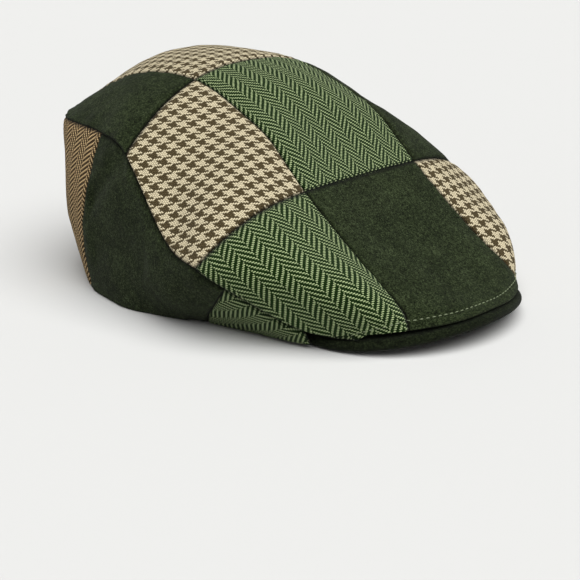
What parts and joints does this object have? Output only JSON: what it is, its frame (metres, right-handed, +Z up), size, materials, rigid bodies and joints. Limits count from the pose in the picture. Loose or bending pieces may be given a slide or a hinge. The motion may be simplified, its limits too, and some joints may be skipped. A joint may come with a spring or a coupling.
{
  "type": "ivy cap",
  "caption": "Flat ivy cap sewn from tweed and felt patches, with a full low crown, a curved side band and a short stiff peak under the crown's front edge.",
  "frame": {"origin": "on the surface that the rim rests on, under the middle of the cap's bounding box", "axes": "+Z up through the crown, +Y from the peak towards the back of the cap, +X towards the wearer's left"},
  "size_m": [0.1974, 0.2578, 0.1158],
  "materials": {
    "dark_green_felt": "matte wool felt",
    "green_herringbone": "matte herringbone tweed",
    "brown_houndstooth": "matte houndstooth tweed",
    "brown_herringbone": "matte herringbone tweed"
  },
  "bodies": {
    "root": {"peak": "dark_green_felt", "top_front_right": "green_herringbone", "top_front_centre": "dark_green_felt", "top_front_left": "brown_houndstooth", "top_mid_right": "brown_houndstooth", "top_mid_centre": "green_herringbone", "top_mid_left": "dark_green_felt", "top_back_right": "dark_green_felt", "top_back_centre": "brown_houndstooth", "top_back_left": "green_herringbone", "side_front_right": "green_herringbone", "side_front_left": "green_herringbone", "side_mid_right": "dark_green_felt", "side_mid_left": "dark_green_felt", "side_back_right": "brown_herringbone", "side_back_left": "brown_herringbone"}
  },
  "joints": []
}
